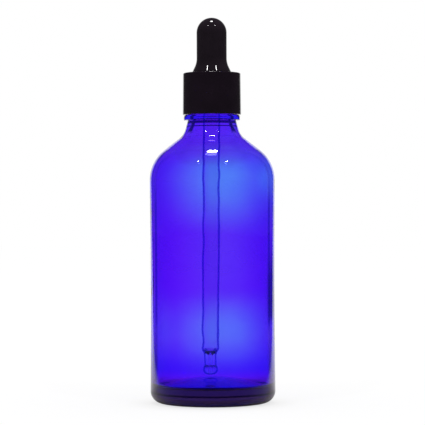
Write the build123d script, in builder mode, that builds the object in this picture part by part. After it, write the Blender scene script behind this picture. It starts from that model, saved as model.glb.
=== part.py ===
from build123d import *
import math
import os

# A cobalt glass dropper bottle of nominal 100 ml: a moulded bottle, a smooth screw collar, a rubber bulb
# and a glass pipette. Millimetres, +Z up, origin on the bottle's axis at the level that it stands on.

# Driving dimensions
body_diameter = 46.6            # heel band and shoulder band
glass_height = 119.6            # from the stand to the flat rim of the mouth
wall = 2.3                      # side, shoulder and neck
collar_top = 122.9              # crown of the screw collar above the stand
collar_height = 15.55
overall_height = 143.6          # top of the bulb above the stand
bulb_diameter = 11.3            # straight part of the bulb
tube_diameter = 6.6             # glass tube of the pipette
tip_height = 10.5               # the pipette's tip above the stand

# Bottle, base and side
body_r = body_diameter / 2
heel_round = 4.5                # from the side into the stand
stand_width = 1.3               # flat ring under the heel
push_up = 3.2                   # hollow under the base, highest on the axis
push_up_edge = 0.4              # and its height above the stand just inside the ring
panel_low = 5.2                 # label panel, a shallow waist between two bands
panel_high = 79.2
panel_depth = 0.22
stand_outer_r = body_r - heel_round
stand_inner_r = stand_outer_r - stand_width

# Bottle, shoulder: a cone, well rounded into the side and into a neck that narrows up to the bead
shoulder_slope = 37.6           # degrees above level
shoulder_corner = 90.0          # height at which the cone would meet the side
shoulder_round = 14.0
neck_top_r = 9.0
neck_taper = 15.0               # degrees from upright
neck_round = 6.5

# Bottle, finish: the bead under the collar, then the root that the thread stands on
bead_r = 10.48
bead_low = 105.25
bead_edge = 0.8                 # height of the bead's upright edge
bead_height = 1.9
bead_narrowing = 0.45           # the bead is narrower by this much at its top
bead_top_r = bead_r - bead_narrowing
bead_top = bead_low + bead_height
finish_r = 7.85
rim_round = 0.7                 # outer edge of the rim
mouth_r = 6.0
mouth_depth = 3.2               # straight part of the mouth
mouth_round = 0.5               # inner edge of the rim

# Bottle, inside
inside_r = body_r - wall
neck_bore_r = 7.0
neck_bore_round = 13.0          # the inside flares more gently, so the glass is thinnest here
floor_centre = 9.7              # floor, domed over the push-up
floor_edge = 5.6
floor_round = 3.0               # from the floor into the side

# Screw collar
collar_foot_r = 10.88
collar_draft = 0.15             # narrower at the crown by this much
collar_crown_round = 0.45
collar_foot_round = 0.2
collar_bore_r = 9.35            # clear of the thread
collar_lead_in = 0.5            # bevel inside the foot
collar_plate = 1.5              # crown plate over the bulb's flange
collar_hole_r = 7.45
hole_bevel = 0.3
collar_foot = collar_top - collar_height
plate_under = collar_top - collar_plate

# Rubber bulb
bulb_r = bulb_diameter / 2
bulb_wall = 1.5
flare_r = 7.2                   # foot of the flare, in the collar's hole
flare_low = collar_top + 0.6
flare_high = 128.8              # where the straight part begins
flange_r = 8.9                  # flange between the rim of the glass and the crown plate
flange_gap = 0.05               # free gap under the crown plate
flange_round = 0.35
plug_r = 5.8                    # hub that plugs the mouth and grips the pipette
plug_depth = 5.0
plug_bevel = 0.8
chamber_r = bulb_r - bulb_wall
flange_top = plate_under - flange_gap
plug_low = glass_height - plug_depth
dome_base = overall_height - bulb_r

# Glass pipette
tube_r = tube_diameter / 2
tube_wall = 0.8
tube_bore_r = tube_r - tube_wall
lip_r = 4.1                     # flared top, held by the ledge inside the bulb
lip_height = 1.1
lip_round = 0.4
ledge = 120.6                   # underside of the flared top
pipette_top = ledge + lip_height
drawn_high = 20.0               # the tube is drawn in to the stem between these heights
drawn_low = 18.2
drawn_round = 1.5
stem_r = 2.25
stem_bore_r = 0.65
ball_r = 2.85                   # rounded end, blunt so that it can't scratch the floor
ball_height = 3.5
ball_flat = 0.5                 # width of the flat round the opening


def round_corners(sketch, corners):
    """Fillet a profile's corners, each given by its radius, its height and the rounding."""
    for r, z, rounding in corners:
        vertex = sketch.vertices().sort_by_distance(Vector(r, z, 0))[0]
        fillet(vertex, rounding)


def shoulder_height(r):
    """Height of the shoulder's outer cone at a radius."""
    return shoulder_corner + (body_r - r) * math.tan(math.radians(shoulder_slope))


def neck_corner():
    """Radius and height at which the neck's taper would meet the shoulder's cone."""
    rise = math.tan(math.radians(shoulder_slope))
    spread = math.tan(math.radians(neck_taper))
    r = (neck_top_r + (bead_low - shoulder_height(0)) * spread) / (1 - rise * spread)
    return r, shoulder_height(r)


def shoulder_height_inside(r):
    """The same for the inner cone, one wall below the outer one."""
    return shoulder_height(r) - wall / math.cos(math.radians(shoulder_slope))


def domed(r, centre, edge, at):
    """Height at a radius of a shallow dome that falls from its centre to its edge."""
    return edge + (centre - edge) * (1 - (at / r) ** 2)


# Bottle
with BuildPart() as bottle:
    with BuildSketch(Plane.XZ) as outside:
        with BuildLine():
            hollow = ThreePointArc(
                (0, push_up),
                (stand_inner_r / 2, domed(stand_inner_r, push_up, push_up_edge, stand_inner_r / 2)),
                (stand_inner_r, push_up_edge),
            )
            Polyline(hollow @ 1, (stand_inner_r, 0), (body_r, 0), (body_r, panel_low))
            ThreePointArc(
                (body_r, panel_low),
                (body_r - panel_depth, (panel_low + panel_high) / 2),
                (body_r, panel_high),
            )
            Polyline(
                (body_r, panel_high),
                (body_r, shoulder_corner),
                neck_corner(),
                (neck_top_r, bead_low),
                (bead_r, bead_low),
                (bead_r, bead_low + bead_edge),
                (bead_top_r, bead_top),
                (finish_r, bead_top),
                (finish_r, glass_height),
                (0, glass_height),
                hollow @ 0,
            )
        make_face()
        round_corners(outside, (
            (stand_inner_r, 0, 0.3),
            (body_r, 0, heel_round),
            (body_r, shoulder_corner, shoulder_round),
            (*neck_corner(), neck_round),
            (bead_r, bead_low, 0.3),
            (bead_r, bead_low + bead_edge, 0.6),
            (bead_top_r, bead_top, 0.4),
            (finish_r, bead_top, 0.6),
            (finish_r, glass_height, rim_round),
        ))
    revolve(axis=Axis.Z)

    with BuildSketch(Plane.XZ) as cavity:
        with BuildLine():
            floor = ThreePointArc(
                (0, floor_centre),
                (inside_r / 2, domed(inside_r, floor_centre, floor_edge, inside_r / 2)),
                (inside_r, floor_edge),
            )
            Polyline(
                floor @ 1,
                (inside_r, shoulder_height_inside(inside_r)),
                (neck_bore_r, shoulder_height_inside(neck_bore_r)),
                (neck_bore_r, bead_top),
                (mouth_r, glass_height - mouth_depth),
                (mouth_r, glass_height - mouth_round),
            )
            RadiusArc(
                (mouth_r, glass_height - mouth_round),
                (mouth_r + mouth_round, glass_height),
                mouth_round,
            )
            Polyline((mouth_r + mouth_round, glass_height), (0, glass_height), floor @ 0)
        make_face()
        round_corners(cavity, (
            (inside_r, floor_edge, floor_round),
            (inside_r, shoulder_height_inside(inside_r), shoulder_round - wall),
            (neck_bore_r, shoulder_height_inside(neck_bore_r), neck_bore_round),
            (neck_bore_r, bead_top, 6.0),
            (mouth_r, glass_height - mouth_depth, 3.0),
        ))
    revolve(axis=Axis.Z, mode=Mode.SUBTRACT)

# Screw collar
with BuildPart() as collar:
    with BuildSketch(Plane.XZ) as shell:
        with BuildLine():
            Polyline(
                (collar_bore_r + collar_lead_in, collar_foot),
                (collar_foot_r, collar_foot),
                (collar_foot_r - collar_draft, collar_top),
                (collar_hole_r + hole_bevel, collar_top),
                (collar_hole_r, collar_top - hole_bevel),
                (collar_hole_r, plate_under),
                (collar_bore_r, plate_under),
                (collar_bore_r, collar_foot + collar_lead_in),
                close=True,
            )
        make_face()
        round_corners(shell, (
            (collar_foot_r, collar_foot, collar_foot_round),
            (collar_foot_r - collar_draft, collar_top, collar_crown_round),
        ))
    revolve(axis=Axis.Z)

# Rubber bulb: a domed teat on a flared foot, its flange, and below it the hub
flare_rise = flare_high - flare_low
flare_spread = flare_r - bulb_r
flare_round = (flare_rise**2 + flare_spread**2) / (2 * flare_spread)

with BuildPart() as bulb:
    with BuildSketch(Plane.XZ) as teat:
        with BuildLine():
            Polyline(
                (chamber_r, dome_base),
                (chamber_r, ledge),
                (tube_r, ledge),
                (tube_r, plug_low),
                (plug_r - plug_bevel, plug_low),
                (plug_r, plug_low + plug_bevel),
                (plug_r, glass_height),
                (flange_r, glass_height),
                (flange_r, flange_top),
                (flare_r, flange_top),
                (flare_r, flare_low),
            )
            RadiusArc((flare_r, flare_low), (bulb_r, flare_high), flare_round)
            Line((bulb_r, flare_high), (bulb_r, dome_base))
            RadiusArc((bulb_r, dome_base), (0, overall_height), -bulb_r)
            Line((0, overall_height), (0, overall_height - bulb_wall))
            RadiusArc((0, overall_height - bulb_wall), (chamber_r, dome_base), chamber_r)
        make_face()
        round_corners(teat, (
            (flange_r, glass_height, flange_round),
            (flange_r, flange_top, flange_round),
        ))
    revolve(axis=Axis.Z)

# Glass pipette
with BuildPart() as pipette:
    with BuildSketch(Plane.XZ) as glass_tube:
        with BuildLine():
            Line((stem_bore_r, tip_height), (stem_bore_r + ball_flat, tip_height))
            ball = ThreePointArc(
                (stem_bore_r + ball_flat, tip_height),
                (ball_r, tip_height + ball_height / 2),
                (stem_r, tip_height + ball_height),
            )
            Polyline(
                ball @ 1,
                (stem_r, drawn_low),
                (tube_r, drawn_high),
                (tube_r, ledge),
                (lip_r, ledge),
                (lip_r, pipette_top),
                (tube_bore_r, pipette_top),
                (tube_bore_r, drawn_high),
                (stem_bore_r, drawn_low),
                (stem_bore_r, tip_height),
            )
        make_face()
        round_corners(glass_tube, (
            (stem_r, drawn_low, drawn_round),
            (tube_r, drawn_high, drawn_round),
            (lip_r, pipette_top, lip_round),
            (tube_bore_r, pipette_top, lip_round),
            (tube_bore_r, drawn_high, drawn_round),
            (stem_bore_r, drawn_low, drawn_round),
        ))
    revolve(axis=Axis.Z)

bottle.part.label = "bottle"
collar.part.label = "screw_collar"
bulb.part.label = "rubber_bulb"
pipette.part.label = "glass_pipette"

os.makedirs("parts", exist_ok=True)
export_step(bottle.part, "parts/bottle.step")
export_step(collar.part, "parts/screw_collar.step")
export_step(bulb.part, "parts/rubber_bulb.step")
export_step(pipette.part, "parts/glass_pipette.step")

# Capacity to the rim, and the glass in the bottle, to set beside the nominal 100 ml
with BuildPart() as contents:
    add(cavity.sketch)
    revolve(axis=Axis.Z)
print("brimful", round(contents.part.volume / 1000, 1), "ml, glass", round(bottle.part.volume / 1000, 1), "ml")
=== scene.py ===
import math

import bpy
from mathutils import Matrix, Vector


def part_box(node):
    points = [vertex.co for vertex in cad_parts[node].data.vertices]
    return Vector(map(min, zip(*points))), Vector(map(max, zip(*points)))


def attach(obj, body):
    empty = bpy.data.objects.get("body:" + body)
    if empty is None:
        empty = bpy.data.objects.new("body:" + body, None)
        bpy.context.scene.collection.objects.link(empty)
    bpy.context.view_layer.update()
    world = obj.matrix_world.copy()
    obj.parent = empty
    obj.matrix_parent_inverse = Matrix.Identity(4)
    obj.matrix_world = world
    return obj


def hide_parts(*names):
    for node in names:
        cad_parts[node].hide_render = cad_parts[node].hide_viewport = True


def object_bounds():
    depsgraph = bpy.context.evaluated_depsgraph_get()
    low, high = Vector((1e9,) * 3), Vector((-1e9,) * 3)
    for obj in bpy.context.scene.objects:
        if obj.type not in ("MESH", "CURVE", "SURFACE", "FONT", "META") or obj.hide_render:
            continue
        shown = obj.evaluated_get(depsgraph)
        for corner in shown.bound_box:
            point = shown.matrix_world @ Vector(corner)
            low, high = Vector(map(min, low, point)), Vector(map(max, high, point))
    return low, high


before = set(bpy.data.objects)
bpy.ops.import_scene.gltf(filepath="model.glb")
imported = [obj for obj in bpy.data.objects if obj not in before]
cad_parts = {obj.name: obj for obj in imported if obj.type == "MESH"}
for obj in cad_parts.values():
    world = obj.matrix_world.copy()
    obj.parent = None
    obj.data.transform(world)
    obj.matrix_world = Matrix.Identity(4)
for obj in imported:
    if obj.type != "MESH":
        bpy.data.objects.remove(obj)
cad_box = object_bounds()

bl_info = {
    "name": "Cobalt Dropper Bottle",
    "version": (1, 0, 0),
    "blender": (4, 5, 0),
    "location": "3D View > Sidebar > Dropper Bottle",
    "description": "A cobalt glass bottle with a screw collar, a rubber bulb and a glass pipette",
    "category": "Add Mesh",
}

MM = 0.001
ARC_STEP = math.radians(6)
HOLD = 0.05 * MM                # an arc's flat neighbour gets a point this close, so its shading stays flat
SHADE_GAP = 0.02 * MM           # clearance between two pieces that seat face to face

# Whole-object sizes come from the solids
BOTTLE_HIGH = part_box("bottle")[1]
COLLAR_LOW, COLLAR_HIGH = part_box("screw_collar")
BULB_LOW, BULB_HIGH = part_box("rubber_bulb")
PIPETTE_LOW, PIPETTE_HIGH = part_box("glass_pipette")

# Bottle, base and side
BODY_R = BOTTLE_HIGH.x
GLASS_TOP = BOTTLE_HIGH.z
HEEL_ROUND = 4.5 * MM
STAND_WIDTH = 1.3 * MM
STAND_LIFT = 0.12 * MM          # the stand's marks reach down from this height
PUSH_UP_EDGE = 0.4 * MM
PANEL_LOW = 5.2 * MM
PANEL_HIGH = 79.2 * MM

# Bottle, shoulder and neck
SHOULDER_SLOPE = math.radians(37.6)
SHOULDER_CORNER = 90.0 * MM
SHOULDER_ROUND = 14.0 * MM
NECK_TOP_R = 9.0 * MM
NECK_TAPER = math.radians(15)
NECK_ROUND = 6.5 * MM
NECK_BORE_R = 7.0 * MM
NECK_BORE_ROUND = 13.0 * MM

# Bottle, finish
BEAD_R = 10.48 * MM
BEAD_LOW = 105.25 * MM
BEAD_EDGE = 1.3 * MM
BEAD_HEIGHT = 1.9 * MM
BEAD_TOP = BEAD_LOW + BEAD_HEIGHT
BEAD_TOP_R = BEAD_R - 0.2 * MM
FINISH_R = 7.85 * MM
MOUTH_R = 6.0 * MM
MOUTH_DEPTH = 3.2 * MM

# Bottle, floor
FLOOR_CENTRE = 9.7 * MM
FLOOR_EDGE = 5.6 * MM
FLOOR_ROUND = 1.5 * MM

# Screw collar
COLLAR_BORE_R = 9.35 * MM
COLLAR_LEAD_IN = 0.5 * MM
COLLAR_DRAFT = 0.15 * MM
COLLAR_HOLE_R = 7.45 * MM
COLLAR_HOLE_BEVEL = 0.3 * MM
PLATE_UNDER = COLLAR_HIGH.z - 1.5 * MM

# Rubber bulb
BULB_R = 5.65 * MM
FLARE_R = 7.2 * MM
FLARE_LOW = COLLAR_HIGH.z + 0.6 * MM
FLARE_SLOPE = math.radians(25.4)
FLARE_ROUND = 7.5 * MM
FLANGE_R = BULB_HIGH.x
PLUG_R = 5.8 * MM
PLUG_BEVEL = 0.8 * MM
DOME_BASE = BULB_HIGH.z - BULB_R - 0.001 * MM

# Glass pipette
TUBE_R = 3.3 * MM
TUBE_WALL = 0.8 * MM
LEDGE = PIPETTE_HIGH.z - 1.1 * MM
DRAWN_HIGH = 20.0 * MM
DRAWN_LOW = 18.2 * MM
DRAWN_ROUND = 1.5 * MM
STEM_R = 2.25 * MM
STEM_BORE_R = 0.65 * MM
BALL_R = 2.85 * MM
BALL_HEIGHT = 3.5 * MM
BALL_FLAT = 0.5 * MM


def length(name, description, millimetres):
    """A property for a real length."""
    return bpy.props.FloatProperty(
        name=name, description=description, default=millimetres * MM, subtype="DISTANCE", unit="LENGTH",
    )


def colour(name, description, rgb):
    """A property for a plain linear colour."""
    return bpy.props.FloatVectorProperty(
        name=name, description=description, default=rgb, size=3, subtype="COLOR", min=0, max=1,
    )


def share(name, description, value):
    """A property for a share of one."""
    return bpy.props.FloatProperty(name=name, description=description, default=value, min=0, max=1)


class BottleProperties(bpy.types.PropertyGroup):
    """Sizes and colours of the moulded bottle."""
    wall: length("Wall", "Thickness of the side and the shoulder", 2.3)
    waist: length("Waist", "Depth of the label panel between the two bands", 0.22)
    push_up: length("Push-up", "Height of the hollow under the base", 3.2)
    unevenness: length("Unevenness", "How far the blown inner wall wanders", 0.08)
    lean: length("Lean", "How far the inner wall sits to the right", -0.08)
    seam: length("Seam", "Height of the mould's parting line", 0.05)
    thread_pitch: length("Thread Pitch", "Rise of the thread in one turn", 3.0)
    thread_height: length("Thread Height", "Height of the thread above its root", 1.0)
    marks: bpy.props.IntProperty(name="Stand Marks", description="Marks round the stand", default=56, min=0)
    # Pale Tint is painted light: the glass's colour is painted pale where the studio's light brightens it
    painted_light: colour("Pale Tint", "Tint of the glass where it is palest", (0.81, 1.0, 1.0))
    deep: colour("Deep Tint", "Tint of the glass where it is deepest", (0.81, 0.13, 1.0))
    side: colour("Side Tint", "Tint that the upright wall adds", (0.815, 1.0, 1.0))
    # Foot Tint is painted shade on the wall above the floor
    foot: colour("Foot Tint", "Tint that the wall adds above the floor", (0.32, 0.85, 1.0))
    # Edge Tint is painted shade: the edges darken where the view through the wall is slanting
    edge: colour("Edge Tint", "Tint that a slanting view through the wall adds", (0.85, 0.08, 0.95))
    # Line Tint is painted shade: the dark line where the inner wall's edge shows
    line: colour("Line Tint", "Tint of the dark line at the inner wall", (0.12, 0.03, 0.5))
    # Neck Line Tint is painted shade: dark lines in the neck and dark rings under the bead
    painted_neck_lines: colour("Neck Line Tint", "Tint of the dark lines in the neck", (0.008, 0.0025, 0.05))
    # Streak Tint is painted shade: a dark streak inside the right edge
    painted_streak: colour("Streak Tint", "Tint of the dark streak by the right edge", (0.05, 0.01, 0.2))
    # Floor Tint is painted shade on the wall round the floor
    dome: colour("Floor Tint", "Tint of the wall round the floor", (1.0, 1.0, 0.55))
    # Base Line Tint is painted shade: a dark line at the mould's base plate
    base_plate_shade: colour("Base Line Tint", "Tint of the line of the mould's base plate", (0.2, 0.15, 0.1))
    # Base Tint is painted shade in the thick glass below the floor
    base: colour("Base Tint", "Tint of the thick glass below the floor", (0.5, 0.3, 0.011))
    # Base Sheen and Upper Sheen are painted reflections: tints of what the thick glass mirrors
    painted_base_reflection: colour("Base Sheen", "Tint of what the thick glass mirrors", (1.0, 0.45, 1.0))
    painted_upper_reflection: colour("Upper Sheen", "Tint that it mirrors above the base plate's line", (0.52, 0.5, 0.88))
    # Heel Tint is painted shade at the edges low on the bottle
    heel: colour("Heel Tint", "Tint that a slanting view adds low down", (0.5, 0.3, 0.12))


class DropperProperties(bpy.types.PropertyGroup):
    """Sizes and colours of the collar, the bulb and the pipette."""
    lean: bpy.props.FloatProperty(
        name="Lean", description="Angle at which the pipette hangs in the bulb",
        default=math.radians(0.5), subtype="ANGLE", unit="ROTATION",
    )
    bulb_wall: length("Bulb Wall", "Thickness of the rubber", 1.5)
    # Glass Line is painted shade: the dark lines along the pipette's edges
    pipette_line_shade: colour("Glass Line", "Tint of the dark lines along the pipette", (0.012, 0.001, 0.5))
    plastic: colour("Collar Colour", "Colour of the moulded collar", (0.0140, 0.0073, 0.0153))
    rubber: colour("Bulb Colour", "Colour of the rubber bulb", (0.0190, 0.0123, 0.0193))
    plastic_roughness: share("Collar Roughness", "Roughness of the collar", 0.12)
    rubber_roughness: share("Bulb Roughness", "Roughness of the bulb", 0.05)


class StageProperties(bpy.types.PropertyGroup):
    """Camera and studio light."""
    distance: length("Camera Distance", "From the camera to the bottle's axis", 716)
    height: length("Camera Height", "Height of the camera above the floor", 70.93)
    aside: length("Camera Offset", "How far the camera stands to the right", 0.07)
    roll: bpy.props.FloatProperty(
        name="Roll", description="Roll of the camera about its view",
        default=math.radians(0.23), subtype="ANGLE", unit="ROTATION",
    )
    focal: bpy.props.FloatProperty(name="Focal Length", description="Lens in millimetres", default=162.6)
    fill: share("Fill", "Level of the room's soft light", 0.55)


class Graph:
    """Adds nodes to a tree and joins them, with values or other nodes' sockets as inputs."""

    def __init__(self, tree):
        self.tree = tree

    def put(self, socket, value):
        if isinstance(value, bpy.types.NodeSocket):
            self.tree.links.new(value, socket)
        else:
            socket.default_value = value

    def node(self, kind, inputs=None, **settings):
        node = self.tree.nodes.new(kind)
        for name, value in settings.items():
            setattr(node, name, value)
        for key, value in (inputs or {}).items():
            shown = [s for s in node.inputs if s.enabled and s.name == key]
            self.put(shown[0], value)
        return node

    def math(self, operation, *values):
        node = self.tree.nodes.new("ShaderNodeMath")
        node.operation = operation
        for socket, value in zip(node.inputs, values):
            self.put(socket, value)
        return node.outputs[0]

    def product(self, first, *factors):
        """The product of two or more values, from left to right."""
        for factor in factors:
            first = self.math("MULTIPLY", first, factor)
        return first

    def highest(self, first, *others):
        """The highest of two or more values."""
        for other in others:
            first = self.math("MAXIMUM", first, other)
        return first

    def ramp(self, value, start, end, low=0.0, high=1.0):
        """A value carried from one range to another, and held at its ends."""
        inputs = {"Value": value, "From Min": start, "From Max": end, "To Min": low, "To Max": high}
        return self.node("ShaderNodeMapRange", inputs, interpolation_type="SMOOTHSTEP").outputs[0]

    def noise(self, vector, scale, detail=2.0, seed=0.0):
        inputs = {"Vector": vector, "W": seed, "Scale": scale, "Detail": detail, "Roughness": 0.5}
        return self.node("ShaderNodeTexNoise", inputs, noise_dimensions="4D").outputs[0]

    def stretch(self, vector, factors):
        inputs = {"Vector": vector, "Scale": factors}
        return self.node("ShaderNodeMapping", inputs, vector_type="POINT").outputs[0]


# Sections: points (radius, height) that run up the outside of a piece and down its inside

def arc(centre, radius, start, sweep, gap):
    """Points of an arc, ends included, no further apart than the gap or one arc step."""
    steps = max(2, math.ceil(abs(sweep) / ARC_STEP), math.ceil(abs(sweep) * radius / gap))
    turns = (start + sweep * i / steps for i in range(steps + 1))
    return [centre + radius * Vector((math.cos(a), math.sin(a))) for a in turns]


def arc_between(centre, first, last, gap):
    """The shorter arc about a centre from one point to another."""
    spoke = first - centre
    end = last - centre
    start = math.atan2(spoke.y, spoke.x)
    sweep = math.remainder(math.atan2(end.y, end.x) - start, math.tau)
    return arc(centre, spoke.length, start, sweep, gap)


def bowed(first, last, rise, gap):
    """An arc between two points whose middle stands to the left of their line by a rise."""
    half = (last - first) / 2
    left = Vector((-half.y, half.x)).normalized()
    radius = (half.length_squared + rise ** 2) / (2 * rise)
    return arc_between(first + half + left * (rise - radius), first, last, gap)


def crowned(radius, centre, edge, gap):
    """A shallow dome from its pole on the axis out to its edge."""
    sphere = (radius ** 2 + (centre - edge) ** 2) / (2 * (centre - edge))
    return arc_between(Vector((0, centre - sphere)), Vector((0, centre)), Vector((radius, edge)), gap)


def straight(first, last, gap):
    """A straight run with its ends held."""
    run = last - first
    if run.length < 4 * HOLD:
        return [first, last]
    hold = run.normalized() * HOLD
    steps = max(1, math.ceil((run.length - 2 * HOLD) / gap))
    middle = [(first + hold).lerp(last - hold, i / steps) for i in range(steps + 1)]
    return [first, *middle, last]


def outline(corners, gap):
    """Straight runs joined by arcs, through corners (radius, height, rounding)."""
    points = [Vector(corners[0][:2])]
    for before, (r, z, rounding), after in zip(corners, corners[1:], corners[2:]):
        corner = Vector((r, z))
        back = (Vector(before[:2]) - corner).normalized()
        ahead = (Vector(after[:2]) - corner).normalized()
        if rounding:
            half = back.angle(ahead) / 2
            centre = corner + (back + ahead).normalized() * rounding / math.sin(half)
            reach = rounding / math.tan(half)
            bend = arc_between(centre, corner + back * reach, corner + ahead * reach, gap)
        else:
            bend = [corner]
        points += straight(points[-1], bend[0], gap)[1:]
        points += bend[1:]
    return points + straight(points[-1], Vector(corners[-1][:2]), gap)[1:]


def joined(*stretches):
    """Stretches end to end, without the points that they share."""
    points = list(stretches[0])
    for stretch in stretches[1:]:
        points += stretch[1:] if (stretch[0] - points[-1]).length < HOLD / 100 else stretch
    return points


def smooth(value, low, high):
    """A soft step from 0 at one value to 1 at another."""
    t = min(1, max(0, (value - low) / (high - low)))
    return t * t * (3 - 2 * t)


# Geometry Nodes: a section turned about Z, with what its mould leaves on it

TURNED_INPUTS = (
    ("Segments", "NodeSocketInt", 96),
    ("Seams", "NodeSocketInt", 2),
    ("Seam Angle", "NodeSocketFloat", 0.0),
    ("Seam Height", "NodeSocketFloat", 0.0),
    ("Seam Width", "NodeSocketFloat", 0.4 * MM),
    ("Thread Start", "NodeSocketFloat", 0.0),
    ("Thread Pitch", "NodeSocketFloat", 3.0 * MM),
    ("Thread Turns", "NodeSocketFloat", 1.0),
    ("Thread Height", "NodeSocketFloat", 0.0),
    ("Thread Width", "NodeSocketFloat", 1.3 * MM),
    ("Marks", "NodeSocketInt", 0),
    ("Mark Height", "NodeSocketFloat", 0.0),
    ("Unevenness", "NodeSocketFloat", 0.0),
    ("Wave Length", "NodeSocketFloat", 9.0 * MM),
    ("Wave Height", "NodeSocketFloat", 5.0 * MM),
    ("Lean", "NodeSocketFloat", 0.0),
    ("Seed", "NodeSocketFloat", 0.0),
    ("Material", "NodeSocketMaterial", None),
)
SECTION_WEIGHTS = ("seam", "thread", "stand", "inside", "lining")


def turned_tree():
    """The tree that turns a section; the section's own attributes say where each effect applies."""
    tree = bpy.data.node_groups.new("Turned From A Section", "GeometryNodeTree")
    tree.interface.new_socket("Section", in_out="INPUT", socket_type="NodeSocketGeometry")
    for name, kind, default in TURNED_INPUTS:
        socket = tree.interface.new_socket(name, in_out="INPUT", socket_type=kind)
        if default is not None:
            socket.default_value = default
    tree.interface.new_socket("Piece", in_out="OUTPUT", socket_type="NodeSocketGeometry")
    g = Graph(tree)
    sizes = g.node("NodeGroupInput").outputs
    section = sizes["Section"]

    # One row of the grid for each point of the section, and one column for each segment
    counted = g.node("GeometryNodeAttributeDomainSize", {"Geometry": section}, component="MESH")
    count = counted.outputs["Point Count"]
    columns = g.math("ADD", sizes["Segments"], 1)
    grid = g.node("GeometryNodeMeshGrid", {"Vertices X": columns, "Vertices Y": count})
    index = g.node("GeometryNodeInputIndex").outputs[0]
    column = g.math("FLOOR", g.math("DIVIDE", index, count))
    row = g.math("SUBTRACT", index, g.math("MULTIPLY", column, count))
    turn = g.math("DIVIDE", column, sizes["Segments"])
    angle = g.math("MULTIPLY", turn, math.tau)

    def sampled(value, kind):
        inputs = {"Geometry": section, "Value": value, "Index": row}
        return g.node("GeometryNodeSampleIndex", inputs, data_type=kind).outputs[0]

    def weight(name):
        named = g.node("GeometryNodeInputNamedAttribute", {"Name": name}, data_type="FLOAT")
        return sampled(named.outputs[0], "FLOAT")

    place = sampled(g.node("GeometryNodeInputPosition").outputs[0], "FLOAT_VECTOR")
    across = g.node("ShaderNodeSeparateXYZ", {"Vector": place}).outputs
    radius = across["X"]
    height = across["Z"]
    around = {"Vector": place, "Angle": angle}
    plain = g.node("ShaderNodeVectorRotate", around, rotation_type="Z_AXIS").outputs[0]

    # Parting lines, evenly spaced round the piece
    spacing = g.math("DIVIDE", math.pi, sizes["Seams"])
    off_line = g.math(
        "WRAP", g.math("SUBTRACT", angle, sizes["Seam Angle"]), spacing, g.math("MULTIPLY", spacing, -1)
    )
    from_line = g.math("MULTIPLY", g.math("ABSOLUTE", off_line), radius)
    line = g.ramp(from_line, 0.0, sizes["Seam Width"], 1.0, 0.0)
    seam = g.product(line, sizes["Seam Height"], weight("seam"))

    # A helical thread that fades in and out at its ends
    climbed = g.math("DIVIDE", g.math("SUBTRACT", height, sizes["Thread Start"]), sizes["Thread Pitch"])
    phase = g.math("SUBTRACT", climbed, turn)
    nearest = g.math("ROUND", phase)
    off_crest = g.math(
        "MULTIPLY", g.math("ABSOLUTE", g.math("SUBTRACT", phase, nearest)), sizes["Thread Pitch"]
    )
    half_width = g.math("MULTIPLY", sizes["Thread Width"], 0.5)
    ridge = g.ramp(off_crest, g.math("MULTIPLY", half_width, 0.25), half_width, 1.0, 0.0)
    along = g.math("ADD", turn, nearest)
    run_in = g.ramp(along, 0.0, 0.12)
    run_out = g.ramp(along, g.math("SUBTRACT", sizes["Thread Turns"], 0.12), sizes["Thread Turns"], 1.0, 0.0)
    thread = g.product(ridge, sizes["Thread Height"], weight("thread"), run_in, run_out)

    # The slow waves of a blown wall, longer round the piece than they are tall
    flatten = g.math("DIVIDE", sizes["Wave Length"], sizes["Wave Height"])
    tall = g.node("ShaderNodeCombineXYZ", {"X": 1.0, "Y": 1.0, "Z": flatten}).outputs[0]
    field = g.node("ShaderNodeVectorMath", operation="MULTIPLY")
    g.put(field.inputs[0], plain)
    g.put(field.inputs[1], tall)
    waves = g.noise(
        field.outputs[0], g.math("DIVIDE", 1.0, sizes["Wave Length"]), detail=1.5, seed=sizes["Seed"]
    )
    inside = weight("inside")
    swell = g.math("MULTIPLY", g.math("SUBTRACT", waves, 0.5), g.math("MULTIPLY", sizes["Unevenness"], 4.0))
    swell = g.math("MULTIPLY", swell, inside)
    lean = g.math("MULTIPLY", sizes["Lean"], inside)

    # Marks that hang from the stand ring
    beat = g.math("MAXIMUM", 0.0, g.math("COSINE", g.math("MULTIPLY", angle, sizes["Marks"])))
    mark = g.product(beat, sizes["Mark Height"], weight("stand"))

    grown = g.math("ADD", g.math("ADD", radius, seam), g.math("ADD", thread, swell))
    lowered = g.math("SUBTRACT", height, mark)
    shaped = g.node("ShaderNodeCombineXYZ", {"X": grown, "Z": lowered}).outputs[0]
    around = {"Vector": shaped, "Angle": angle}
    spun = g.node("ShaderNodeVectorRotate", around, rotation_type="Z_AXIS").outputs[0]
    sideways = g.node("ShaderNodeCombineXYZ", {"X": lean}).outputs[0]
    moved = g.node("ShaderNodeVectorMath", operation="ADD")
    g.put(moved.inputs[0], spun)
    g.put(moved.inputs[1], sideways)
    turned = g.node(
        "GeometryNodeSetPosition", {"Geometry": grid.outputs["Mesh"], "Position": moved.outputs[0]}
    )
    inputs = {"Geometry": turned.outputs[0], "Name": "lining", "Value": weight("lining")}
    lined = g.node("GeometryNodeStoreNamedAttribute", inputs, data_type="FLOAT", domain="POINT")
    merged = g.node("GeometryNodeMergeByDistance", {"Geometry": lined.outputs[0], "Distance": 0.001 * MM})
    shaded = g.node("GeometryNodeSetShadeSmooth", {"Geometry": merged.outputs[0], "Shade Smooth": True})
    real = g.node("GeometryNodeRealizeInstances", {"Geometry": shaded.outputs[0]})
    inputs = {"Geometry": real.outputs[0], "Material": sizes["Material"]}
    finished = g.node("GeometryNodeSetMaterial", inputs)
    g.node("NodeGroupOutput", {"Piece": finished.outputs[0]})
    return tree


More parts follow.
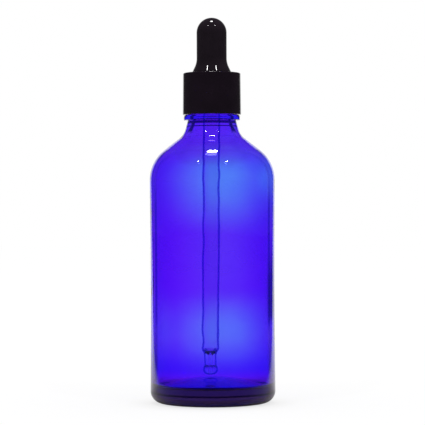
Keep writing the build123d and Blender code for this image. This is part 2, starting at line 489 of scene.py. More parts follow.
def turned(name, section, weights, **inputs):
    """A piece turned from a section by the tree, as a plain mesh."""
    tree = bpy.data.node_groups.get("Turned From A Section") or turned_tree()
    mesh = bpy.data.meshes.new(name)
    edges = [(i, i + 1) for i in range(len(section) - 1)]
    mesh.from_pydata([(p.x, 0, p.y) for p in section], edges, [])
    for weight in SECTION_WEIGHTS:
        values = weights.get(weight, [0.0] * len(section))
        mesh.attributes.new(weight, "FLOAT", "POINT").data.foreach_set("value", values)
    piece = bpy.data.objects.new(name, mesh)
    bpy.context.scene.collection.objects.link(piece)
    modifier = piece.modifiers.new("Turned", "NODES")
    modifier.node_group = tree
    sockets = {s.name: s.identifier for s in tree.interface.items_tree if s.in_out == "INPUT"}
    for key, value in inputs.items():
        modifier[sockets[key.replace("_", " ").title()]] = value
    evaluated = piece.evaluated_get(bpy.context.evaluated_depsgraph_get())
    solid = bpy.data.meshes.new_from_object(evaluated)
    piece.modifiers.clear()
    piece.data = solid
    bpy.data.meshes.remove(mesh)
    solid.name = name
    return piece


def seat(piece, body):
    """The piece rides on its body and stands for the solid of its name, which is hidden."""
    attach(piece, body)
    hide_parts(piece.name.removesuffix("_visual"))


# Shader groups for effects that several finishes share

def shader_group(name, inputs, outputs):
    """An empty shader node group with its sockets: (graph, inputs, output node)."""
    group = bpy.data.node_groups.new(name, "ShaderNodeTree")
    for label, kind, default in inputs:
        socket = group.interface.new_socket(label, in_out="INPUT", socket_type=kind)
        if default is not None:
            socket.default_value = default
    for label in outputs:
        group.interface.new_socket(label, in_out="OUTPUT", socket_type="NodeSocketFloat")
    g = Graph(group)
    return g, g.node("NodeGroupInput").outputs, g.node("NodeGroupOutput")


def handling_marks():
    """Wiped smears and faint fingerprints, as a mask."""
    name = "Handling Marks"
    if name in bpy.data.node_groups:
        return bpy.data.node_groups[name]
    g, given, out = shader_group(name, (
        ("Vector", "NodeSocketVector", None),
        ("Size", "NodeSocketFloat", 14 * MM),
        ("Coverage", "NodeSocketFloat", 0.35),
        ("Seed", "NodeSocketFloat", 0.0),
    ), ("Mask",))
    scale = g.math("DIVIDE", 1.0, given["Size"])
    patches = g.noise(given["Vector"], scale, detail=3.0, seed=given["Seed"])
    upright = g.stretch(given["Vector"], (1.0, 1.0, 0.2))
    smears = g.noise(upright, g.math("MULTIPLY", scale, 9.0), seed=3.0)
    low = g.math("SUBTRACT", 0.72, g.math("MULTIPLY", given["Coverage"], 0.4))
    patch = g.ramp(patches, low, g.math("ADD", low, 0.2))
    wiped = g.ramp(smears, 0.35, 0.7, 0.35, 1.0)
    g.put(out.inputs["Mask"], g.math("MULTIPLY", patch, wiped))
    return g.tree


def moulded_grain():
    """The fine skin of a moulded part: a height for its bump and a tone that varies slowly."""
    name = "Moulded Grain"
    if name in bpy.data.node_groups:
        return bpy.data.node_groups[name]
    g, given, out = shader_group(name, (
        ("Vector", "NodeSocketVector", None),
        ("Grain", "NodeSocketFloat", 0.25 * MM),
        ("Mottle", "NodeSocketFloat", 6 * MM),
        ("Seed", "NodeSocketFloat", 0.0),
    ), ("Height", "Tone"))
    fine = g.noise(given["Vector"], g.math("DIVIDE", 1.0, given["Grain"]), detail=2.0, seed=given["Seed"])
    slow = g.noise(given["Vector"], g.math("DIVIDE", 1.0, given["Mottle"]), detail=3.0, seed=given["Seed"])
    g.put(out.inputs["Height"], g.math("ADD", g.math("MULTIPLY", fine, 0.6), g.math("MULTIPLY", slow, 0.4)))
    g.put(out.inputs["Tone"], g.ramp(slow, 0.3, 0.7))
    return g.tree


def wall_line_shade():
    """How slanting a view of the outer surface is, and a soft line of painted shade where the inner wall's
    edge shows.
    """
    name = "Wall Line"
    if name in bpy.data.node_groups:
        return bpy.data.node_groups[name]
    g, given, out = shader_group(name, (
        ("Facing", "NodeSocketFloat", 0.0),
        ("Outside", "NodeSocketFloat", 1.0),
        ("Centre", "NodeSocketFloat", 0.9),
        ("Width", "NodeSocketFloat", 0.03),
    ), ("Slant", "Line"))
    head_on = g.math("SUBTRACT", 1.0, given["Facing"])
    aslant = g.math("SUBTRACT", 1.0, g.math("MULTIPLY", head_on, head_on))
    slant = g.math("SQRT", g.math("MAXIMUM", aslant, 0.0))
    off = g.math("DIVIDE", g.math("ABSOLUTE", g.math("SUBTRACT", slant, given["Centre"])), given["Width"])
    g.put(out.inputs["Slant"], g.math("MULTIPLY", slant, given["Outside"]))
    g.put(out.inputs["Line"], g.math("MULTIPLY", g.ramp(off, 0.4, 1.0, 1.0, 0.0), given["Outside"]))
    return g.tree


def wall_view(g, centre, width):
    """The wall line's slant and its line of painted shade, for light that enters the outer surface, and where
    that is.
    """
    facing = g.node("ShaderNodeLayerWeight", {"Blend": 0.5}).outputs["Facing"]
    leaving = g.node("ShaderNodeNewGeometry").outputs["Backfacing"]
    lining = g.node("ShaderNodeAttribute", attribute_name="lining").outputs["Fac"]
    outside = g.math("MULTIPLY", g.math("SUBTRACT", 1.0, leaving), g.math("SUBTRACT", 1.0, lining))
    view = g.node("ShaderNodeGroup", node_tree=wall_line_shade())
    for name, value in (("Facing", facing), ("Outside", outside), ("Centre", centre), ("Width", width)):
        g.put(view.inputs[name], value)
    return view.outputs["Slant"], view.outputs["Line"], outside


def tinted(g, base, tint, amount):
    """A colour multiplied by a tint, by an amount."""
    mix = g.node("ShaderNodeMix", data_type="RGBA", blend_type="MULTIPLY")
    g.put(mix.inputs["Factor"], amount)
    g.put(mix.inputs[6], base)
    g.put(mix.inputs[7], tint)
    return mix.outputs[2]


def new_finish(name):
    """A material with its Principled shader: (material, graph, shader, object coordinates)."""
    finish = bpy.data.materials.new(name)
    finish.use_nodes = True
    g = Graph(finish.node_tree)
    shader = g.tree.nodes["Principled BSDF"]
    return finish, g, shader, g.node("ShaderNodeTexCoord").outputs["Object"]


def bumped(g, height, strength, distance):
    """A bump's normal."""
    inputs = {"Height": height, "Strength": strength, "Distance": distance}
    return g.node("ShaderNodeBump", inputs).outputs["Normal"]


def patch(g, place, centre, reach):
    """1 at a centre, falling softly to 0 at its reach."""
    inputs = {"Vector": place, "Location": centre, "Scale": reach}
    local = g.node("ShaderNodeMapping", inputs, vector_type="TEXTURE").outputs[0]
    ball = g.node("ShaderNodeTexGradient", {"Vector": local}, gradient_type="SPHERICAL").outputs[1]
    return g.ramp(ball, 0.0, 1.0)


def ring(g, height, middle, half):
    """1 at a height, falling softly to 0 on both sides."""
    off = g.math("DIVIDE", g.math("ABSOLUTE", g.math("SUBTRACT", height, middle)), half)
    return g.ramp(off, 0.5, 1.0, 1.0, 0.0)


def painted_cloud(g, place, across, up, wide, tall):
    """A patch of painted light that runs straight through from front to back: its middle and its reach in
    millimetres.
    """
    through = 1000.0
    return patch(g, place, (across * MM, 0, up * MM), (wide * MM, through * MM, tall * MM))


def painted_pale_clouds(g, place, rising):
    """Painted light: how pale the glass is painted, and the painted cloud at the right of the shoulder by
    itself.
    """
    upper = g.product(painted_cloud(g, place, across=6.0, up=85, wide=36, tall=31), rising(89, 99, 1.0, 0.35))
    right = painted_cloud(g, place, across=21, up=84, wide=11, tall=17)
    middle = g.product(painted_cloud(g, place, across=3.5, up=60, wide=24, tall=90), 0.2)
    lower = g.product(painted_cloud(g, place, across=5.0, up=27, wide=34, tall=22), 0.74)
    left = g.product(painted_cloud(g, place, across=-20, up=27, wide=13, tall=19), 0.45)
    above_foot = g.product(g.highest(lower, left, middle), rising(5, 18))
    melt = g.noise(place, 55.0, detail=2.0, seed=4.0)
    painted_light = g.product(g.highest(above_foot, upper, right), g.ramp(melt, 0.2, 0.7, 0.85, 1.0))
    return painted_light, right


def cobalt_glass(sizes):
    """Cobalt blue glass: it absorbs red and green on the way through; painted light makes it palest near both
    ends, and painted shade and painted reflections are tinted in by zones.
    """
    finish, g, shader, place = new_finish("Cobalt Glass")
    spot = g.node("ShaderNodeSeparateXYZ", {"Vector": place}).outputs
    height = spot["Z"]

    def rising(low, high, first=0.0, last=1.0):
        """A value carried up the height between two levels in millimetres."""
        return g.ramp(height, low * MM, high * MM, first, last)

    painted_light, right = painted_pale_clouds(g, place, rising)
    # Painted light: the deep colour turns pale in the painted clouds
    tint = g.node("ShaderNodeMix", data_type="RGBA")
    g.put(tint.inputs["Factor"], painted_light)
    g.put(tint.inputs[6], (*sizes.deep, 1))
    g.put(tint.inputs[7], (*sizes.painted_light, 1))

    # The zones of the bottle: its side, its neck, and the glass round and below its floor
    side = rising(88, 95, 1.0, 0.0)
    off_side = g.math("SUBTRACT", 1.0, side)
    neck = rising(99.8, 101.3)
    side_and_neck = g.highest(side, rising(97, 100))
    thick = rising(6.6, 7.9, 1.0, 0.0)

    # Where the painted shade of the inner wall's edge goes, as the slant of the view
    side_slant = 0.91
    neck_slant = g.math("SUBTRACT", rising(100, 103.5, 0.865, 0.775), rising(105.1, 105.3, 0.0, 0.06))
    centre = g.math("ADD", g.product(side, side_slant), g.product(off_side, neck_slant))
    slant, line, outside = wall_view(g, centre, g.ramp(side, 0.0, 1.0, 0.095, 0.026))

    # The painted dark line on the side, fainter by the shoulder and towards the right of the foot
    at_foot = g.highest(rising(24, 31), g.ramp(spot["X"], -10 * MM, 10 * MM, 0.7, 0.15))
    wall = g.product(line, side, g.math("MINIMUM", rising(72, 84, 1.0, 0.5), at_foot))

    # A painted dark streak of shade inside the right edge
    painted_streak = patch(g, place, (22.5 * MM, -7 * MM, 40 * MM), (9 * MM, 10 * MM, 28 * MM))
    painted_streak = g.product(g.ramp(painted_streak, 0.1, 0.8), rising(28.5, 33), g.ramp(slant, 0.80, 0.92))

    # Painted shade: the dark lines in the neck and the two dark rings under the bead
    painted_rings = g.highest(ring(g, height, 104.5 * MM, 0.75 * MM), ring(g, height, 103.0 * MM, 0.28 * MM))
    neck_line_shade = g.highest(g.product(line, neck), g.product(painted_rings, outside))

    # Painted shade at the edges of the bottle, where the view passes through the wall aslant
    slanting_shade = g.ramp(slant, g.ramp(side, 0.0, 1.0, 0.8, 0.35), 0.97)
    slanting_shade = g.product(slanting_shade, g.math("SUBTRACT", 1.0, g.product(right, 0.7)))
    # Painted shade at the edges low down
    low_edge_shade = g.product(rising(12, 32, 1.0, 0.0), g.ramp(slant, 0.86, 0.93))

    # Painted shade round the foot and in the base, with a painted dark line at the mould's base plate
    foot = g.product(rising(10, 14), rising(14, 26, 1.0, 0.0))
    round_floor_shade = g.product(rising(9.3, 11.8, 1.0, 0.0), outside)
    # Painted shade: a dark ring at the mould's base plate, in the colour and in what the glass mirrors
    plate = g.product(ring(g, height, 4.2 * MM, 0.5 * MM), outside)
    above_plate = g.product(thick, rising(4.3, 4.9))

    # Painted light and painted shade, tinted into the glass's colour zone by zone
    seen = tint.outputs[2]
    for mask, part_tint in (
        (side_and_neck, sizes.side),
        (round_floor_shade, sizes.dome),
        (g.product(foot, outside), sizes.foot),
        (painted_streak, sizes.painted_streak),
        (slanting_shade, sizes.edge),
        (wall, sizes.line),
        (neck_line_shade, sizes.painted_neck_lines),
        (plate, sizes.base_plate_shade),
        (low_edge_shade, sizes.heel),
        (g.product(thick, outside), sizes.base),
    ):
        seen = tinted(g, seen, (*part_tint, 1), mask)
    g.put(shader.inputs["Base Color"], seen)
    # Painted reflection: what the thick glass mirrors is tinted, and darkened at the base plate's line
    mirrored = (1, 1, 1, 1)
    for mask, part_tint in ((thick, sizes.painted_base_reflection), (above_plate, sizes.painted_upper_reflection), (plate, sizes.base_plate_shade)):
        mirrored = tinted(g, mirrored, (*part_tint, 1), mask)
    g.put(shader.inputs["Specular Tint"], mirrored)
    marks = g.node("ShaderNodeGroup", node_tree=handling_marks())
    g.put(marks.inputs["Vector"], place)
    g.put(shader.inputs["Roughness"], g.product(marks.outputs["Mask"], 0.008))
    ripple = g.noise(g.stretch(place, (1.0, 1.0, 0.45)), 160.0, detail=1.0, seed=2.0)
    g.put(shader.inputs["Normal"], bumped(g, ripple, 0.25, 0.05 * MM))
    shader.inputs["IOR"].default_value = 1.52
    shader.inputs["Transmission Weight"].default_value = 1.0
    absorb = g.node("ShaderNodeVolumeAbsorption")
    absorb.inputs["Color"].default_value = (0.42, 0.50, 0.99, 1)
    absorb.inputs["Density"].default_value = 600.0
    g.tree.links.new(absorb.outputs[0], g.tree.nodes["Material Output"].inputs["Volume"])
    return finish


def clear_glass(line_tint):
    """Colourless drawn glass with faint draw lines along it in its bump, and painted dark lines of shade
    along its edges.
    """
    finish, g, shader, place = new_finish("Clear Drawn Glass")
    # Painted shade: dark lines where the view through the pipette's wall is slanting
    line = wall_view(g, 0.87, 0.17)[1]
    g.put(shader.inputs["Base Color"], tinted(g, (0.93, 0.90, 0.99, 1), (*line_tint, 1), line))
    marks = g.node("ShaderNodeGroup", node_tree=handling_marks())
    g.put(marks.inputs["Vector"], place)
    g.put(marks.inputs["Size"], 8 * MM)
    g.put(shader.inputs["Roughness"], g.math("MULTIPLY", marks.outputs["Mask"], 0.02))
    lines = g.noise(g.stretch(place, (1.0, 1.0, 0.02)), 900.0, detail=1.0, seed=6.0)
    g.put(shader.inputs["Normal"], bumped(g, lines, 0.1, 0.02 * MM))
    shader.inputs["IOR"].default_value = 1.5
    shader.inputs["Transmission Weight"].default_value = 1.0
    return finish


def black_moulding(name, rgb, roughness, grain, seed):
    """A black moulded finish: a fine skin, a slow change of tone and smears from handling."""
    finish, g, shader, place = new_finish(name)
    skin = g.node("ShaderNodeGroup", node_tree=moulded_grain())
    g.put(skin.inputs["Vector"], place)
    g.put(skin.inputs["Grain"], grain)
    g.put(skin.inputs["Seed"], seed)
    marks = g.node("ShaderNodeGroup", node_tree=handling_marks())
    g.put(marks.inputs["Vector"], place)
    g.put(marks.inputs["Seed"], seed)
    tone = g.node("ShaderNodeMix", data_type="RGBA")
    g.put(tone.inputs["Factor"], skin.outputs["Tone"])
    g.put(tone.inputs[6], (*(0.85 * c for c in rgb), 1))
    g.put(tone.inputs[7], (*(1.15 * c for c in rgb), 1))
    g.put(shader.inputs["Base Color"], tone.outputs[2])
    smeared = g.math("MULTIPLY", marks.outputs["Mask"], 0.12)
    g.put(shader.inputs["Roughness"], g.math("ADD", smeared, roughness))
    g.put(shader.inputs["Normal"], bumped(g, skin.outputs["Height"], 0.07, 0.03 * MM))
    return finish


# Sections of the four pieces

def shoulder_height(r):
    """Height of the shoulder's outer cone at a radius."""
    return SHOULDER_CORNER + (BODY_R - r) * math.tan(SHOULDER_SLOPE)


def neck_corner():
    """Radius and height at which the neck's taper would meet the shoulder's cone."""
    rise = math.tan(SHOULDER_SLOPE)
    spread = math.tan(NECK_TAPER)
    r = (NECK_TOP_R + (BEAD_LOW - shoulder_height(0)) * spread) / (1 - rise * spread)
    return r, shoulder_height(r)


def bottle_outside(sizes):
    """Up the outside of the bottle, from the push-up's pole to the rim."""
    stand_outer_r = BODY_R - HEEL_ROUND
    stand_inner_r = stand_outer_r - STAND_WIDTH
    hollow = crowned(stand_inner_r, sizes.push_up, PUSH_UP_EDGE, 2 * MM)
    stand = outline((
        (stand_inner_r, PUSH_UP_EDGE, 0),
        (stand_inner_r, STAND_LIFT, 0.2 * MM),
        (stand_outer_r, STAND_LIFT, 0),
    ), 0.25 * MM)
    heel_centre = Vector((stand_outer_r, STAND_LIFT + HEEL_ROUND))
    heel = arc_between(heel_centre, stand[-1], heel_centre + Vector((HEEL_ROUND, 0)), 2 * MM)
    band = straight(heel[-1], Vector((BODY_R, PANEL_LOW)), 1 * MM)
    panel = bowed(band[-1], Vector((BODY_R, PANEL_HIGH)), sizes.waist, 2.2 * MM)
    shoulder = outline((
        (BODY_R, PANEL_HIGH, 0),
        (BODY_R, SHOULDER_CORNER, SHOULDER_ROUND),
        (*neck_corner(), NECK_ROUND),
        (NECK_TOP_R, BEAD_LOW, 0),
    ), 2 * MM)
    finish = outline((
        (NECK_TOP_R, BEAD_LOW, 0),
        (BEAD_R, BEAD_LOW, 0.3 * MM),
        (BEAD_R, BEAD_LOW + BEAD_EDGE, 0.3 * MM),
        (BEAD_TOP_R, BEAD_TOP, 0.3 * MM),
        (FINISH_R, BEAD_TOP, 0.6 * MM),
        (FINISH_R, GLASS_TOP, 0.7 * MM),
        (MOUTH_R + 0.5 * MM, GLASS_TOP, 0),
    ), 0.3 * MM)
    return joined(hollow, stand, heel, band, panel, shoulder, finish)


def bottle_inside(sizes):
    """Down the inside of the bottle, from the rim to the floor's pole."""
    inside_r = BODY_R - sizes.wall
    drop = sizes.wall / math.cos(SHOULDER_SLOPE)
    fall = FLOOR_CENTRE - FLOOR_EDGE
    sphere = (inside_r ** 2 + fall ** 2) / (2 * fall)
    dome_centre = Vector((0, FLOOR_CENTRE - sphere))
    round_r = inside_r - FLOOR_ROUND
    round_z = dome_centre.y + math.sqrt((sphere + FLOOR_ROUND) ** 2 - round_r ** 2)
    round_centre = Vector((round_r, round_z))
    touch = dome_centre + (round_centre - dome_centre).normalized() * sphere
    side = outline((
        (MOUTH_R + 0.5 * MM, GLASS_TOP, 0),
        (MOUTH_R, GLASS_TOP - 0.01 * MM, 0.45 * MM),
        (MOUTH_R, GLASS_TOP - MOUTH_DEPTH, 3.0 * MM),
        (NECK_BORE_R, BEAD_TOP, 6.0 * MM),
        (NECK_BORE_R, shoulder_height(NECK_BORE_R) - drop, NECK_BORE_ROUND),
        (inside_r, shoulder_height(inside_r) - drop, SHOULDER_ROUND - sizes.wall),
        (inside_r, round_z, 0),
    ), 1.5 * MM)
    bend = arc_between(round_centre, Vector((inside_r, round_z)), touch, 1 * MM)
    floor = arc_between(dome_centre, touch, Vector((0, FLOOR_CENTRE)), 1.5 * MM)
    return joined(side, bend, floor)


def collar_section():
    """Round the wall of the screw collar, up its outside and down its bore."""
    foot = COLLAR_LOW.z
    crown = COLLAR_HIGH.z
    skirt = outline((
        (COLLAR_BORE_R + COLLAR_LEAD_IN, foot, 0),
        (COLLAR_HIGH.x, foot, 0.2 * MM),
        (COLLAR_HIGH.x - COLLAR_DRAFT, crown, 0.45 * MM),
        (COLLAR_HOLE_R + COLLAR_HOLE_BEVEL, crown, 0.15 * MM),
        (COLLAR_HOLE_R, crown - COLLAR_HOLE_BEVEL, 0.15 * MM),
        (COLLAR_HOLE_R, PLATE_UNDER, 0),
    ), 1 * MM)
    bore = outline((
        (COLLAR_HOLE_R, PLATE_UNDER, 0),
        (COLLAR_BORE_R, PLATE_UNDER, 0.3 * MM),
        (COLLAR_BORE_R, foot + COLLAR_LEAD_IN, 0),
        (COLLAR_BORE_R + COLLAR_LEAD_IN, foot, 0),
    ), 0.3 * MM)
    return joined(skirt, bore)


def bulb_section(sizes):
    """Down the bulb's chamber, round its hub and flange, and up its outside."""
    chamber_r = BULB_R - sizes.bulb_wall
    centre = Vector((0, DOME_BASE))
    grip_r = TUBE_R + 2 * SHADE_GAP
    flange_low = GLASS_TOP + SHADE_GAP
    flange_top = PLATE_UNDER - 0.05 * MM
    cap = arc_between(centre, Vector((0, DOME_BASE + chamber_r)), Vector((chamber_r, DOME_BASE)), 1 * MM)
    inside = outline((
        (chamber_r, DOME_BASE, 0),
        (chamber_r, LEDGE - SHADE_GAP, 0),
        (grip_r, LEDGE - SHADE_GAP, 0),
        (grip_r, BULB_LOW.z, 0),
        (PLUG_R - PLUG_BEVEL, BULB_LOW.z, 0.2 * MM),
        (PLUG_R, BULB_LOW.z + PLUG_BEVEL, 0.2 * MM),
        (PLUG_R, flange_low, 0),
        (FLANGE_R, flange_low, 0.35 * MM),
        (FLANGE_R, flange_top, 0.35 * MM),
        (FLARE_R, flange_top, 0),
        (FLARE_R, FLARE_LOW, 0),
    ), 1 * MM)
    flare_corner = FLARE_LOW + (FLARE_R - BULB_R) / math.tan(FLARE_SLOPE)
    side = outline((
        (FLARE_R, FLARE_LOW, 0),
        (BULB_R, flare_corner, FLARE_ROUND),
        (BULB_R, DOME_BASE, 0),
    ), 0.5 * MM)
    dome = arc_between(centre, Vector((BULB_R, DOME_BASE)), Vector((0, DOME_BASE + BULB_R)), 0.5 * MM)
    return joined(cap, inside, side, dome)


def pipette_section():
    """Round the wall of the pipette, up its outside and down its bore."""
    low = PIPETTE_LOW.z
    bore_r = TUBE_R - TUBE_WALL
    flat = straight(Vector((STEM_BORE_R, low)), Vector((STEM_BORE_R + BALL_FLAT, low)), 0.2 * MM)
    half = BALL_HEIGHT / 2
    lower = bowed(flat[-1], Vector((BALL_R, low + half)), -0.42 * MM, 0.3 * MM)
    upper = bowed(lower[-1], Vector((STEM_R, low + BALL_HEIGHT)), -0.16 * MM, 0.3 * MM)
    outside = outline((
        (STEM_R, low + BALL_HEIGHT, 0),
        (STEM_R, DRAWN_LOW, DRAWN_ROUND),
        (TUBE_R, DRAWN_HIGH, DRAWN_ROUND),
        (TUBE_R, LEDGE, 0.2 * MM),
        (PIPETTE_HIGH.x, LEDGE, 0.2 * MM),
        (PIPETTE_HIGH.x, PIPETTE_HIGH.z, 0.4 * MM),
        (bore_r, PIPETTE_HIGH.z, 0.4 * MM),
        (bore_r, DRAWN_HIGH, DRAWN_ROUND),
        (STEM_BORE_R, DRAWN_LOW, DRAWN_ROUND),
        (STEM_BORE_R, low, 0),
    ), 3 * MM)
    return joined(flat, lower, upper, outside)


class MakeBottle(bpy.types.Operator):
    """Make the moulded bottle with its finish, its seams and its uneven inner wall"""
    bl_idname = "dropper.make_bottle"
    bl_label = "Make Bottle"

    def execute(self, context):
        sizes = context.scene.bottle_sizes
        outside = bottle_outside(sizes)
        inside = bottle_inside(sizes)
        section = joined(outside, inside)
        outer = len(outside)
        stand_low = BODY_R - HEEL_ROUND - STAND_WIDTH
        stand_middle = stand_low + STAND_WIDTH / 2
        weights = {name: [0.0] * len(section) for name in SECTION_WEIGHTS}
        for i, point in enumerate(section):
            if i < outer:
                weights["seam"][i] = smooth(point.y, 1 * MM, 3 * MM) * smooth(GLASS_TOP - point.y, 0, 1 * MM)
                weights["thread"][i] = smooth(point.y, BEAD_TOP + 0.3 * MM, BEAD_TOP + 0.8 * MM)
                if point.y < STAND_LIFT + HOLD:
                    off = abs(point.x - stand_middle) / (STAND_WIDTH / 2)
                    weights["stand"][i] = 1 - smooth(off, 0.3, 1.0)
            else:
                weights["lining"][i] = 1.0
                low = smooth(point.y, FLOOR_CENTRE, FLOOR_CENTRE + 12 * MM)
                weights["inside"][i] = low * smooth(BEAD_LOW - point.y, 0, 14 * MM)
        bottle = turned(
            "bottle_visual", section, weights, segments=4 * sizes.marks,
            seams=2, seam_angle=math.radians(8), seam_height=sizes.seam,
            thread_start=BEAD_TOP + 2.4 * MM, thread_pitch=sizes.thread_pitch, thread_turns=2.0,
            thread_height=sizes.thread_height, marks=sizes.marks, mark_height=STAND_LIFT,
            unevenness=sizes.unevenness, lean=sizes.lean, seed=1.7, material=cobalt_glass(sizes),
        )
        seat(bottle, "bottle")
        return {"FINISHED"}


class MakeCollar(bpy.types.Operator):
    """Make the smooth screw collar with the thread inside it"""
    bl_idname = "dropper.make_collar"
    bl_label = "Make Screw Collar"

    def execute(self, context):
        sizes = context.scene.dropper_sizes
        pitch = context.scene.bottle_sizes.thread_pitch
        section = collar_section()
        in_bore = [abs(p.x - COLLAR_BORE_R) < HOLD and p.y < PLATE_UNDER - 1 * MM for p in section]
        on_skirt = [p.x > COLLAR_BORE_R + 1 * MM and p.y < COLLAR_HIGH.z - 0.4 * MM for p in section]
        weights = {"thread": [float(b) for b in in_bore], "seam": [float(b) for b in on_skirt]}
        plastic = black_moulding(
            "Black Plastic", sizes.plastic, sizes.plastic_roughness, grain=0.3 * MM, seed=1.0
        )
        collar = turned(
            "screw_collar_visual", section, weights, segments=256, seams=1,
            seam_angle=math.radians(-93), seam_height=0.02 * MM, seam_width=0.35 * MM,
            thread_start=BEAD_TOP + 2.4 * MM + pitch / 2, thread_pitch=pitch, thread_turns=2.0,
            thread_height=-1.1 * MM, material=plastic,
        )
        seat(collar, "collar")
        return {"FINISHED"}


class MakeBulb(bpy.types.Operator):
    """Make the rubber bulb with its flange and its hub"""
    bl_idname = "dropper.make_bulb"
    bl_label = "Make Rubber Bulb"

    def execute(self, context):
        sizes = context.scene.dropper_sizes
        section = bulb_section(sizes)
        rubber = black_moulding(
            "Black Rubber", sizes.rubber, sizes.rubber_roughness, grain=0.18 * MM, seed=5.0
        )
        bulb = turned("rubber_bulb_visual", section, {}, segments=192, material=rubber)
        seat(bulb, "dropper")
        return {"FINISHED"}


class MakePipette(bpy.types.Operator):
    """Make the glass pipette, which hangs a little aslant in the bulb"""
    bl_idname = "dropper.make_pipette"
    bl_label = "Make Glass Pipette"

    def execute(self, context):
        sizes = context.scene.dropper_sizes
        section = pipette_section()
        bore = TUBE_R - TUBE_WALL + HOLD
        lining = [float(p.x < STEM_BORE_R + HOLD or (p.x < bore and p.y > DRAWN_HIGH)) for p in section]
        pipette = turned(
            "glass_pipette_visual", section, {"lining": lining}, segments=128,
            material=clear_glass(sizes.pipette_line_shade),
        )
        pivot = Matrix.Translation((0, 0, (BULB_LOW.z + GLASS_TOP) / 2))
        slant = Matrix.Rotation(sizes.lean, 4, "Y")
        pipette.data.transform(pivot @ slant @ pivot.inverted())
        seat(pipette, "dropper")
        return {"FINISHED"}


# Stage

def backdrop_world(fill):
    """A white room for the camera and through glass; dim in reflections, except for the backdrop behind."""
    world = bpy.data.worlds.new("Studio")
    world.use_nodes = True
    g = Graph(world.node_tree)
    rays = g.node("ShaderNodeLightPath").outputs
    direction = g.node("ShaderNodeTexCoord").outputs["Generated"]
    across = g.node("ShaderNodeSeparateXYZ", {"Vector": direction}).outputs
    behind = g.ramp(across["Y"], 0.87, 0.90, 0.05, 1.0)
    walls = g.ramp(g.math("ABSOLUTE", across["Z"]), 0.6, 0.8, 1.0, 0.08)
    through = g.math("MULTIPLY", rays["Is Transmission Ray"], walls)
    seen = g.math("MAXIMUM", rays["Is Camera Ray"], through)
    mirrored = g.math("MULTIPLY", rays["Is Glossy Ray"], behind)
    lit = g.math("MULTIPLY", g.math("SUBTRACT", 1.0, rays["Is Glossy Ray"]), fill)
    straight_on = g.math("MAXIMUM", rays["Is Camera Ray"], rays["Is Transmission Ray"])
    unseen = g.math("MULTIPLY", g.math("SUBTRACT", 1.0, straight_on), g.math("ADD", mirrored, lit))
    background = g.tree.nodes["Background"]
    background.inputs["Color"].default_value = (1, 1, 1, 1)
    g.put(background.inputs["Strength"], g.math("ADD", seen, unseen))
    bpy.context.scene.world = world


def pale_floor(fill, lamp_level, lamp_height):
    """A floor that looks white where it is lit, and keeps the object's shadow."""
    own_shade = 0.3
    shade_through_glass = 0.9
    shade_mirrored_near = 0.9
    shade_mirrored_far = 0.05
    backdrop_spread = 0.53          # the bright part in reflections widens by this much behind the bottle
    finish = bpy.data.materials.new("Pale Floor")
    finish.use_nodes = True
    g = Graph(finish.node_tree)
    shader = g.tree.nodes["Principled BSDF"]
    shader.inputs["Roughness"].default_value = 0.9
    shader.inputs["Specular IOR Level"].default_value = 0.0
    rays = g.node("ShaderNodeLightPath").outputs
    place = g.node("ShaderNodeTexCoord").outputs["Object"]
    spot = g.node("ShaderNodeSeparateXYZ", {"Vector": place}).outputs
    away = g.node("ShaderNodeVectorMath", operation="LENGTH")
    g.put(away.inputs[0], place)
    away = away.outputs["Value"]

    # How brightly the softbox and the room light each place
    reach = g.math("DIVIDE", away, lamp_height)
    spread = g.math("POWER", g.math("ADD", g.product(reach, reach), 1.0), -2.0)
    level = g.math("ADD", g.product(spread, lamp_level), fill)

    # The floor's shade for each kind of ray: pale near the bottle in reflections, and dark further off
    through = rays["Is Transmission Ray"]
    only_glossy = g.product(rays["Is Glossy Ray"], g.math("SUBTRACT", 1.0, through))
    mirrored = g.ramp(g.ramp(away, 0.1, 0.13), 0.0, 1.0, shade_mirrored_near, shade_mirrored_far)
    albedo = g.math("ADD", own_shade, g.product(through, shade_through_glass - own_shade))
    albedo = g.math("ADD", albedo, g.product(only_glossy, g.math("SUBTRACT", mirrored, own_shade)))
    tone = g.node("ShaderNodeCombineColor")
    for socket in tone.inputs[:3]:
        g.put(socket, albedo)
    g.put(shader.inputs["Base Color"], tone.outputs[0])

    # Light of its own makes up what is missing from white, for the camera and for the backdrop's rays
    sideways = g.math("SUBTRACT", g.math("ABSOLUTE", spot["X"]), g.product(spot["Y"], backdrop_spread))
    behind = g.product(g.ramp(spot["Y"], 0.02, 0.06), g.ramp(sideways, 0.06, 0.12, 1.0, 0.0))
    clear_of_base = g.product(through, g.ramp(away, 0.022, 0.07))
    seen = g.highest(rays["Is Camera Ray"], g.highest(clear_of_base, g.product(only_glossy, behind)))
    missing = g.math("SUBTRACT", 1.0, g.product(albedo, level))
    shader.inputs["Emission Color"].default_value = (1, 1, 1, 1)
    g.put(shader.inputs["Emission Strength"], g.product(seen, missing))
    return finish


def add_lamp(name, direction, distance, size, level):
    """A round lamp that looks at the bottle, with a given brightness of its face."""
    lamp = bpy.data.lights.new(name, "AREA")
    lamp.shape = "DISK"
    lamp.size = size
    lamp.energy = level * math.pi * (math.pi * size ** 2 / 4)
    fitting = bpy.data.objects.new(name, lamp)
    fitting.location = Vector((0, 0, cad_box[1].z / 2)) + direction * distance
    fitting.rotation_euler = direction.to_track_quat("Z", "Y").to_euler()
    bpy.context.scene.collection.objects.link(fitting)


def towards(azimuth, elevation):
    """A direction from the bottle, azimuth 0 at the camera's side and positive to the right."""
    flat = math.cos(math.radians(elevation))
    turn = math.radians(azimuth)
    return Vector((math.sin(turn) * flat, -math.cos(turn) * flat, math.sin(math.radians(elevation))))


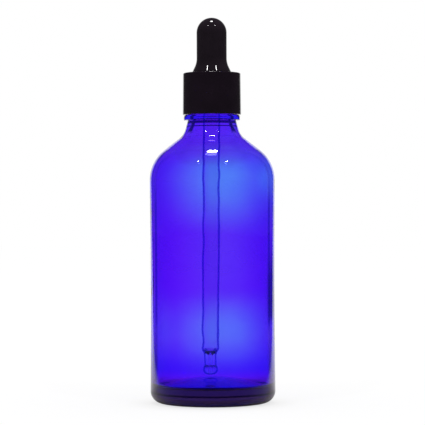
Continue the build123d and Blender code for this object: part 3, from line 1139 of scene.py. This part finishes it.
class MakeStage(bpy.types.Operator):
    """Make the pale floor, the studio light and the camera"""
    bl_idname = "dropper.make_stage"
    bl_label = "Make Stage"

    def execute(self, context):
        stage = context.scene.stage_sizes
        softbox_size = 0.205
        softbox_level = 28.0
        lamp_distance = 1.0
        softbox_fill = softbox_level * softbox_size ** 2 / (4 * lamp_distance ** 2)
        add_lamp("Overhead Softbox", towards(180, 88), lamp_distance, softbox_size, softbox_level)
        for side, azimuth in (("Left", -37), ("Right", 37)):
            add_lamp(f"{side} Lamp", towards(azimuth, 53), distance=1.2, size=0.07, level=60.0)
        backdrop_world(stage.fill)
        half = 3.0
        mesh = bpy.data.meshes.new("floor")
        corners = [(-half, -half, 0), (half, -half, 0), (half, half, 0), (-half, half, 0)]
        mesh.from_pydata(corners, [], [(0, 1, 2, 3)])
        mesh.materials.append(pale_floor(stage.fill, softbox_fill, lamp_distance))
        floor = bpy.data.objects.new("floor", mesh)
        context.scene.collection.objects.link(floor)
        camera = bpy.data.objects.new("Camera", bpy.data.cameras.new("Camera"))
        camera.data.lens = stage.focal
        camera.data.sensor_width = 36.0
        camera.data.clip_end = 20.0
        camera.location = (stage.aside, -stage.distance, stage.height)
        camera.rotation_euler = (math.pi / 2, stage.roll, 0)
        context.scene.collection.objects.link(camera)
        context.scene.camera = camera
        context.scene.view_settings.view_transform = "Standard"
        return {"FINISHED"}


class DropperPanel(bpy.types.Panel):
    """Lists the pieces with their sizes and colours"""
    bl_idname = "VIEW3D_PT_dropper_bottle"
    bl_label = "Dropper Bottle"
    bl_space_type = "VIEW_3D"
    bl_region_type = "UI"
    bl_category = "Dropper Bottle"

    def draw(self, context):
        for operators, name in (
            ((MakeBottle,), "bottle_sizes"),
            ((MakeCollar, MakeBulb, MakePipette), "dropper_sizes"),
            ((MakeStage,), "stage_sizes"),
        ):
            box = self.layout.box()
            group = getattr(context.scene, name)
            for field in group.bl_rna.properties.keys():
                if field not in ("rna_type", "name"):
                    box.prop(group, field)
            for operator in operators:
                box.operator(operator.bl_idname)


OPERATORS = (MakeBottle, MakeCollar, MakeBulb, MakePipette, MakeStage)
GROUPS = {
    "bottle_sizes": BottleProperties,
    "dropper_sizes": DropperProperties,
    "stage_sizes": StageProperties,
}


def register():
    for cls in (*GROUPS.values(), *OPERATORS, DropperPanel):
        bpy.utils.register_class(cls)
    for name, group in GROUPS.items():
        setattr(bpy.types.Scene, name, bpy.props.PointerProperty(type=group))


def unregister():
    for name in GROUPS:
        delattr(bpy.types.Scene, name)
    for cls in (DropperPanel, *reversed(OPERATORS), *GROUPS.values()):
        bpy.utils.unregister_class(cls)


def main():
    """Make every piece and the stage."""
    register()
    for operator in OPERATORS:
        category, name = operator.bl_idname.split(".")
        getattr(getattr(bpy.ops, category), name)()


if __name__ == "__main__":
    main()
